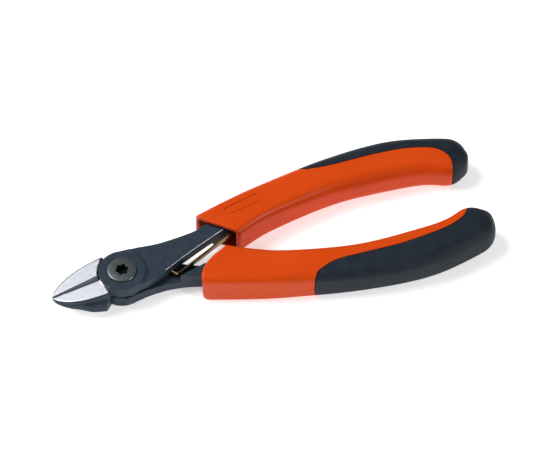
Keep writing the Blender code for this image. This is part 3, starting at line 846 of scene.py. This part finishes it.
def handle_shell(name, tree, finish, inset, start):
    """The handle's closed form from a station to its end, made smaller all round by inset."""
    straight, closing = end_rows(HANDLE_REACH, inset)
    stations = [(start + (straight - start) * step / 60, 1.0) for step in range(61)] + closing
    points, widths, squeezes, radii = [], [], [], []
    for x, squeeze in stations:
        y, _, half_width = handle_at(x)
        points.append((x, y, 0.0))
        widths.append(half_width * MM)
        squeezes.append(squeeze)
        radii.append(edge_radius(x, inset) * MM)
    attributes = [("half_width", widths), ("squeeze", squeezes), ("edge_radius", radii)]
    line = guide_line(name, points, attributes)
    return grown(line, tree, {
        "Inset": inset * MM,
        "Thickness": HANDLE_THICKNESS * MM,
        "Rows": 170,
        "Columns": 62,
        "Finish": finish,
    })


def sleeve(name, side, front, edges, shell_tree, finish):
    solid = sleeve_body(name, smooth_line(front, 12), side)
    boolean(solid, grip_zone("zone", edges, GRIP_GAP), "DIFFERENCE")
    core = handle_shell("core", shell_tree, finish, GRIP_THICKNESS + GRIP_GAP, 58.0)
    boolean(solid, core, "UNION")
    outer, inner = tang_edges(TANG_CLEARANCE)
    pocket = prism("pocket", outer + inner[::-1], -TANG_HEIGHT - TANG_CLEARANCE, TANG_HEIGHT + TANG_CLEARANCE)
    boolean(solid, pocket, "DIFFERENCE")
    reach = HANDLE_THICKNESS / 2 - SLEEVE_WALL + PIN_SEAT_DEPTH
    radius = SPRING_PIN_RADIUS + SPRING_PIN_CLEARANCE
    seat = turned("pin_seat", [(radius, -reach), (radius, reach)], SPRING_EYE)
    boolean(solid, seat, "DIFFERENCE")
    solid.data.materials.clear()
    solid.data.materials.append(finish)
    return solid


def blank_label(solid):
    """Sinks a plain rectangular panel into the top of the sleeve."""
    floor = HANDLE_THICKNESS / 2 - LABEL_DEPTH
    middle_x = sum(x for x, _ in LABEL_CORNERS) / 4
    middle_y = sum(y for _, y in LABEL_CORNERS) / 4

    def outline(share, z):
        return [
            (middle_x + (x - middle_x) * share, middle_y + (y - middle_y) * share, z)
            for x, y in LABEL_CORNERS
        ]

    panel = loft("panel", [outline(1.0, floor), outline(1.02, floor + 1.0)])
    raised = loft("raised", [outline(0.9, floor - 0.5), outline(0.88, floor + 0.2)])
    boolean(panel, raised, "DIFFERENCE")
    return boolean(solid, panel, "DIFFERENCE")


def grip(name, edges, shell_tree, finish):
    solid = handle_shell(name, shell_tree, finish, 0.0, 56.0)
    boolean(solid, grip_zone("zone", edges), "INTERSECT")
    boolean(solid, handle_shell("inside", shell_tree, finish, GRIP_THICKNESS, 50.0), "DIFFERENCE")
    solid.data.materials.clear()
    solid.data.materials.append(finish)
    return solid


# Forged halves


def jaw_half_width(x):
    share = min(1.0, max(0.0, (-JAW_BACK - x) / (TIP_REACH - JAW_BACK)))
    return JAW_HALF_WIDTH * max(0.0, 1 - share**2.6) ** 0.62


def land_height(x):
    """Height of the ground face above the mid-plane at this station of the jaws."""
    along = max(0.0, (x + TIP_REACH) / (TIP_REACH - LAND_BACK))
    return TIP_HEIGHT + (JAW_HEIGHT - TIP_HEIGHT) * min(1.0, along)


def jaw_lean(x, side):
    """How far the cutting edges stand off the X axis at this station."""
    return side * JAW_LEAN * min(0.0, x - JAW_LEAN_START)


def jaw_section(x, side):
    """Section of a jaw across X, from its cutting edge round the outside. side is 1 above and -1 below."""
    along = min(1.0, max(0.0, (x + TIP_REACH) / (TIP_REACH - LAND_BACK)))
    height = land_height(x)
    groove = GROOVE_HALF_WIDTH * (0.12 + 0.88 * along)
    width = max(jaw_half_width(x), groove + 0.35)
    chamfer = min(JAW_CHAMFER, 0.4 * (width - groove))
    drop = min(chamfer * 1.1, 0.45 * height)
    share = min(1.0, max(0.0, (x - JAW_DRAFT_START) / (JAW_DRAFT_END - JAW_DRAFT_START)))
    draft = JAW_DRAFT * share * share * (3 - 2 * share)
    hollow = 0.45 * min(1.0, 2.0 * along)
    section = [
        (EDGE_GAP, EDGE_LEVEL * height),
        (EDGE_GAP + groove, height),
        (width - chamfer, height),
        (width, height - drop),
        (width, 0.74 * height),
        (width - hollow, 0.56 * height),
        (width - hollow, 0.30 * height),
        (width + 0.35 * draft, 0.0),
        (width + 0.75 * draft, -0.3 * height),
        (width + 0.95 * draft, -0.6 * height),
        (width + draft, drop - height),
        (width + draft - chamfer, -height),
        (EDGE_GAP + groove, -height),
    ]
    lean = jaw_lean(x, side)
    return [(x, lean - across, side * up) for across, up in section]


def jaw(side):
    length = TIP_REACH - JAW_BACK
    rings = [jaw_section(-TIP_REACH + (step / 90) ** 1.6 * length, side) for step in range(91)]
    solid = loft("jaw", rings)
    boolean(solid, disc("below", BOSS_RADIUS + SWEEP_GAP, -2 * BOSS_HEIGHT, LAP_GAP / 2), "DIFFERENCE")
    far = 3 * BOSS_RADIUS
    knob = UPPER_KNOB_ANGLE if side > 0 else KNOB_ANGLE
    back = prism("back", [(0.0, 0.0), polar(far, -knob), (far, -far), (far, 0.0)],
                 -2 * BOSS_HEIGHT, 2 * BOSS_HEIGHT)
    return boolean(solid, back, "DIFFERENCE")


def arm_edges(line):
    """Outer and inner edges of an arm, from the joint to where the tang begins."""
    shoulder = KNOB_ANGLE - OPEN_ANGLE - STOP_CLEARANCE
    outer = [polar(0.7 * BOSS_RADIUS, shoulder), polar(BOSS_RADIUS + SHOULDER_PROUD, shoulder)]
    outer += smooth_line(line, 5)
    inner = smooth_line([polar(0.99 * BOSS_RADIUS, -62), (7.6, -6.6), (11.6, -5.2), (17.0, -2.9),
                         (22.0, -0.4),
                         (29.4, 3.0)], 4)
    return outer, inner


def boss_fillet():
    """The swept shoulder where the boss runs down into the arm."""
    rise = BOSS_HEIGHT - ARM_HEIGHT
    profile = [(BOSS_RADIUS + 1.9, 1.0), (BOSS_RADIUS + 1.9, ARM_HEIGHT)]
    for step in range(1, 9):
        angle = 90 * step / 8
        profile.append((BOSS_RADIUS + 1.9 * (1 - math.sin(math.radians(angle))),
                        ARM_HEIGHT + rise * (1 - math.cos(math.radians(angle)))))
    skirt = turned("skirt", profile)
    keep = prism("keep", [(0.0, 0.0), polar(14.0, -48), polar(16.0, 10), polar(14.0, 66)], 0.5, 9.0)
    return boolean(skirt, keep, "INTERSECT")


def forged_half(name, side, line, finish):
    """One forged half, with the jaw at -Y and the tang at +Y."""
    outer, inner = arm_edges(line)
    tang_outer, tang_inner = tang_edges()
    solid = disc(name, BOSS_RADIUS, LAP_GAP / 2, BOSS_HEIGHT)
    boolean(solid, jaw(side), "UNION")
    plate = outer + tang_outer[:1] + tang_inner[:1] + inner[::-1]
    boolean(solid, prism("arm", plate, LAP_GAP / 2, ARM_HEIGHT), "UNION")
    fillet = boolean(boss_fillet(), prism("outline", plate, 0.5, 9.0), "INTERSECT")
    boolean(solid, fillet, "UNION")
    deep = DEEP_OF_UPPER if side > 0 else DEEP_OF_LOWER
    deep = [*deep, tang_inner[0], tang_outer[0]]
    deep += [(x, y - 0.1) for x, y in reversed(line) if x > deep[0][0]]
    boolean(solid, prism("deep", deep, -TANG_HEIGHT, DEEP_ARM_TOP), "UNION")
    joint_x = tang_outer[0][0] - 2.0
    tang = tang_outer + tang_inner[::-1]
    tang = [(joint_x, tang[0][1] - 0.9)] + tang + [(joint_x, tang[-1][1] + 0.1)]
    boolean(solid, prism("tang", tang, -TANG_HEIGHT + 0.02, TANG_HEIGHT - 0.02), "UNION")
    trim = [(TANG_STEP, -20.0), (2 * TANG_STEP, -20.0), (2 * TANG_STEP, 40.0), (TANG_STEP, 40.0)]
    boolean(solid, prism("trim", trim, TANG_HEIGHT, 9.0), "DIFFERENCE")
    remesh = solid.modifiers.new("forging", "REMESH")
    remesh.mode = "VOXEL"
    remesh.voxel_size = 0.24 * MM
    ease = solid.modifiers.new("rounding", "SMOOTH")
    ease.factor = 0.5
    ease.iterations = 3
    settle(solid)
    true_faces(solid)
    boolean(solid, disc("bore", SHANK_RADIUS + SHANK_CLEARANCE, -9.0, 9.0), "DIFFERENCE")
    recess = disc("recess", SCREW_HEAD_RADIUS + RECESS_CLEARANCE,
                  BOSS_HEIGHT - SCREW_HEAD_DEPTH - RECESS_CLEARANCE, 9.0)
    boolean(solid, recess, "DIFFERENCE")
    mark_ground_and_highlight(solid, side)
    solid.data.materials.clear()
    solid.data.materials.append(finish)
    return smooth_shaded(solid, 50)


FACING_UP = 0.93  # least upright share of a normal on a machined face


def true_faces(solid):
    """Brings the machined faces back to exact planes after the forging is rounded."""
    mesh = solid.data
    places = [(vertex.co - PIVOT) / MM for vertex in mesh.vertices]
    normals = [vertex.normal.copy() for vertex in mesh.vertices]
    for index, ((x, y, z), normal) in enumerate(zip(places, normals)):
        level = None
        if normal.z > FACING_UP:
            for height in (BOSS_HEIGHT, ARM_HEIGHT, TANG_HEIGHT):
                if abs(z - height) < 0.12:
                    level = height
        if x < 0 and y < 0 and abs(normal.z) > FACING_UP:
            height = land_height(x)
            if abs(abs(z) - height) < 0.14:
                level = math.copysign(height, z)
        if normal.z < -FACING_UP and abs(z - LAP_GAP / 2) < 0.12:
            level = LAP_GAP / 2
        if level is not None:
            places[index].z = level
    mesh.vertices.foreach_set("co", [number for spot in places for number in PIVOT + spot * MM])


def mark_ground_and_highlight(solid, side):
    """Marks the ground faces of the jaw, which stay bright, and a painted highlight: a band along the arm's
    inner top edge given the same bright finish.
    """
    marks = []
    for vertex in solid.data.vertices:
        x, y, z = (vertex.co - PIVOT) / MM
        across = jaw_lean(x, side) - y
        outside = math.hypot(x, y) > BOSS_RADIUS + 0.15
        chamfer = JAW_CHAMFER if z * side > 0 else JAW_CHAMFER - JAW_DRAFT
        back = -8.5 - y * (0.155 if side > 0 else 0.33)
        in_jaw = x < back and outside and across < jaw_half_width(x) - 0.45 * chamfer
        land = in_jaw and abs(abs(z) - land_height(x)) < 0.1
        wall = in_jaw and across < EDGE_GAP + GROOVE_HALF_WIDTH + 0.1
        slanted = 0.3 < abs(vertex.normal.z) < 0.9
        # painted highlight: the slanted band along the arm's inner top edge takes the bright ground finish,
        # standing for light off its chamfer
        painted_edge_highlight = slanted and 15.0 < x < 42.0 and vertex.normal.y < -0.3 and abs(z - ARM_HEIGHT) < 0.35
        marks.append(1.0 if land or wall or painted_edge_highlight else 0.0)
    solid.data.attributes.new("ground_and_highlight", "FLOAT", "POINT").data.foreach_set("value", marks)


# Pivot and spring


def pivot_screw(finish):
    seat = BOSS_HEIGHT - SCREW_HEAD_DEPTH
    top = BOSS_HEIGHT + SCREW_HEAD_PROUD
    thread_start = -seat + 0.2
    edge = SCREW_HEAD_RADIUS
    profile = [(THREAD_RADIUS - 0.2, -BOSS_HEIGHT), (THREAD_RADIUS, -BOSS_HEIGHT + 0.2)]
    profile += [(THREAD_RADIUS, thread_start), (SHANK_RADIUS, thread_start), (SHANK_RADIUS, seat)]
    profile += [(edge - 0.1, seat), (edge, seat + 0.1), (edge, top - 0.42)]
    for step in range(1, 6):
        dx, dz = polar(0.42, 18 * step)
        profile.append((edge - 0.42 + dx, top - 0.42 + dz))
    screw = turned("pivot_screw_head", profile)
    guide = guide_line("socket", [(0.0, 0.0, 0.0), (1.0, 0.0, 0.0)])
    socket = grown(guide, lobed_socket_tree(), {
        "Lobes": 6,
        "Radius": SOCKET_RADIUS * MM,
        "Lobe depth": 0.62 * MM,
        "Depth": (SOCKET_DEPTH + 1.0) * MM,
        "Centre": tuple(PIVOT + Vector((0.0, 0.0, top - SOCKET_DEPTH)) * MM),
        "Finish": finish,
    })
    boolean(screw, socket, "DIFFERENCE")
    # marks the inside of the driver socket, which the plated steel colours near-black as painted shade
    marks = []
    for vertex in screw.data.vertices:
        x, y, z = (vertex.co - PIVOT) / MM
        marks.append(1.0 if math.hypot(x, y) < SOCKET_RADIUS + 0.05 and z > 0 and z < top - 0.3 else 0.0)
    screw.data.attributes.new("socket", "FLOAT", "POINT").data.foreach_set("value", marks)
    screw.data.materials.clear()
    screw.data.materials.append(finish)
    return smooth_shaded(screw, 40)


def pivot_nut(finish):
    seat = -BOSS_HEIGHT + SCREW_HEAD_DEPTH
    face = -BOSS_HEIGHT - 0.2
    profile = [(SCREW_HEAD_RADIUS - 0.35, face), (SCREW_HEAD_RADIUS - 0.1, face + 0.1)]
    profile += [(SCREW_HEAD_RADIUS, face + 0.35), (SCREW_HEAD_RADIUS, seat)]
    nut = turned("pivot_nut_disc", profile)
    boolean(nut, disc("thread", THREAD_RADIUS + SHANK_CLEARANCE, -9.0, 0.0), "DIFFERENCE")
    nut.data.materials.clear()
    nut.data.materials.append(finish)
    return smooth_shaded(nut, 40)


def return_spring(finish):
    """Strip on edge: bent tip, straight leaf and an eye rolled round the pin."""
    eye_x, eye_y = SPRING_EYE
    radius = SPRING_PIN_RADIUS + SPRING_PIN_CLEARANCE + SPRING_THICKNESS / 2
    points = [(17.45, -3.2, SPRING_DEEP), (18.9, -4.85, SPRING_DEEP), (20.9, -4.15, SPRING_DEEP)]
    lean = math.degrees(math.atan2(eye_y + radius * 0.9 + 4.15, eye_x - radius * 0.45 - 20.9))
    for step in range(0, 15):
        dx, dy = polar(radius, 90 + lean - 22 * step)
        points.append((eye_x + dx, eye_y + dy, SPRING_DEEP))
    guide = guide_line("return_spring_strip", points)
    strip = grown(guide, spring_strip_tree(), {
        "Bend radius": 0.9 * MM,
        "Lower edge": SPRING_DEEP * MM,
        "Tongue edge": SPRING_TONGUE * MM,
        "Upper edge": SPRING_TOP * MM,
        "Tongue start": PIVOT.x + 25.5 * MM,
        "Tongue end": PIVOT.x + 28.5 * MM,
        "Finish": finish,
    })
    wall = strip.modifiers.new("wall", "SOLIDIFY")
    wall.thickness = SPRING_THICKNESS * MM
    wall.offset = 0.0
    edge = strip.modifiers.new("edge", "BEVEL")
    edge.width = 0.1 * MM
    edge.segments = 2
    edge.limit_method = "ANGLE"
    edge.angle_limit = math.radians(50)
    settle(strip)
    return smooth_shaded(strip, 40)


def spring_pin(finish):
    reach = HANDLE_THICKNESS / 2 - SLEEVE_WALL + PIN_SEAT_DEPTH - PIN_END_GAP
    pin = turned("spring_pin_dowel", [
        (SPRING_PIN_RADIUS - 0.2, -reach),
        (SPRING_PIN_RADIUS, -reach + 0.2),
        (SPRING_PIN_RADIUS, reach - 0.2),
        (SPRING_PIN_RADIUS - 0.2, reach),
    ], SPRING_EYE, 32)
    pin.data.materials.append(finish)
    return smooth_shaded(pin, 40)


# Assembly


def fit(piece, body, slot, *nodes):
    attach(piece, body)
    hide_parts(*nodes)


def build_pliers():
    forged = forged_steel()
    plated = turned_steel()
    bronze = spring_bronze()
    orange = orange_plastic()
    black = soft_rubber()
    shell_tree = handle_shell_tree()

    upper_half = forged_half("upper_half_forging", 1, ARM_OF_UPPER, forged)
    lower_half = forged_half("lower_half_blank", -1, ARM_OF_LOWER, forged)
    lower_half = turned_over(lower_half, "lower_half_forging")
    upper_sleeve = sleeve("upper_sleeve_shell", 1, FRONT_OF_UPPER, GRIP_OF_UPPER, shell_tree, orange)
    smooth_shaded(blank_label(upper_sleeve))
    lower_edges = GRIP_OF_LOWER[::-1]
    lower_sleeve = sleeve("lower_sleeve_blank", -1, FRONT_OF_LOWER, lower_edges, shell_tree, orange)
    lower_sleeve = smooth_shaded(turned_over(lower_sleeve, "lower_sleeve_shell"))
    upper_grip = smooth_shaded(grip("upper_grip_skin", GRIP_OF_UPPER, shell_tree, black))
    lower_grip = smooth_shaded(grip("lower_grip_blank", lower_edges, shell_tree, black))
    lower_grip = turned_over(lower_grip, "lower_grip_skin")

    fit(upper_half, "upper", "forged_steel", "upper_half")
    fit(lower_half, "lower", "forged_steel", "lower_half")
    fit(upper_sleeve, "upper", "orange_plastic", "upper_sleeve")
    fit(lower_sleeve, "lower", "orange_plastic", "lower_sleeve")
    fit(upper_grip, "upper", "black_grip", "upper_grip")
    fit(lower_grip, "lower", "black_grip", "lower_grip")
    fit(pivot_screw(plated), "lower", "plated_steel", "pivot_screw")
    fit(pivot_nut(plated), "lower", "plated_steel", "pivot_nut")
    fit(spring_pin(plated), "upper", "plated_steel", "spring_pin")
    fit(return_spring(bronze), "spring", "spring_strip", "return_spring")


# Stage


def floor():
    """A white sheet that gives off a little light of its own, so that shadows stay faint."""
    half = 3.0  # metres
    mesh = bpy.data.meshes.new("floor")
    corners = [(-half, -half, 0.0), (half, -half, 0.0), (half, half, 0.0), (-half, half, 0.0)]
    mesh.from_pydata(corners, [], [(0, 1, 2, 3)])
    thing = bpy.data.objects.new("floor", mesh)
    bpy.context.scene.collection.objects.link(thing)
    material, _, shader = material_named("floor_paper")
    shader.inputs["Base Color"].default_value = (0.92, 0.92, 0.92, 1.0)
    shader.inputs["Emission Color"].default_value = (1.0, 1.0, 1.0, 1.0)
    shader.inputs["Emission Strength"].default_value = 0.5
    shader.inputs["Roughness"].default_value = 0.9
    shader.inputs["Specular IOR Level"].default_value = 0.1
    mesh.materials.append(material)


def soft_light(name, place_at, aim, size, watts, tint=(1.0, 1.0, 1.0)):
    data = bpy.data.lights.new(name, "AREA")
    data.shape = "RECTANGLE"
    data.size, data.size_y = size
    data.energy = watts
    data.color = tint
    thing = bpy.data.objects.new(name, data)
    thing.location = place_at
    thing.rotation_euler = (Vector(aim) - Vector(place_at)).to_track_quat("-Z", "Y").to_euler()
    bpy.context.scene.collection.objects.link(thing)


def studio():
    world = bpy.data.worlds.new("studio")
    bpy.context.scene.world = world
    world.use_nodes = True
    backdrop = world.node_tree.nodes["Background"]
    backdrop.inputs["Color"].default_value = (1.0, 1.0, 1.0, 1.0)
    backdrop.inputs["Strength"].default_value = 0.12
    soft_light("main_softbox", (-0.72, 0.45, 0.98), (0.0, 0.0, 0.0), (0.9, 0.9), 22.0)
    soft_light("front_softbox", (0.85, -0.9, 0.68), (0.0, 0.0, 0.0), (0.35, 0.5), 8.0)
    bpy.context.scene.view_settings.view_transform = "Standard"


def camera():
    """A long lens from the front, turned a little to the left and 54 degrees above the floor."""
    bearing, elevation, distance = math.radians(16.78), math.radians(53.93), 2.0085
    view = Vector((
        math.cos(elevation) * math.sin(bearing),
        math.cos(elevation) * math.cos(bearing),
        -math.sin(elevation),
    ))
    middle = (BOX_LOW + BOX_HIGH) / 2
    aim = middle + Vector((4.9, 6.9, 0.0)) * MM
    data = bpy.data.cameras.new("camera")
    data.sensor_width = 36.0
    data.lens = 367.5
    data.clip_end = 20.0
    thing = bpy.data.objects.new("camera", data)
    thing.location = aim - view * distance
    thing.rotation_euler = view.to_track_quat("-Z", "Y").to_euler()
    bpy.context.scene.collection.objects.link(thing)
    bpy.context.scene.camera = thing


camera()
floor()
studio()
build_pliers()
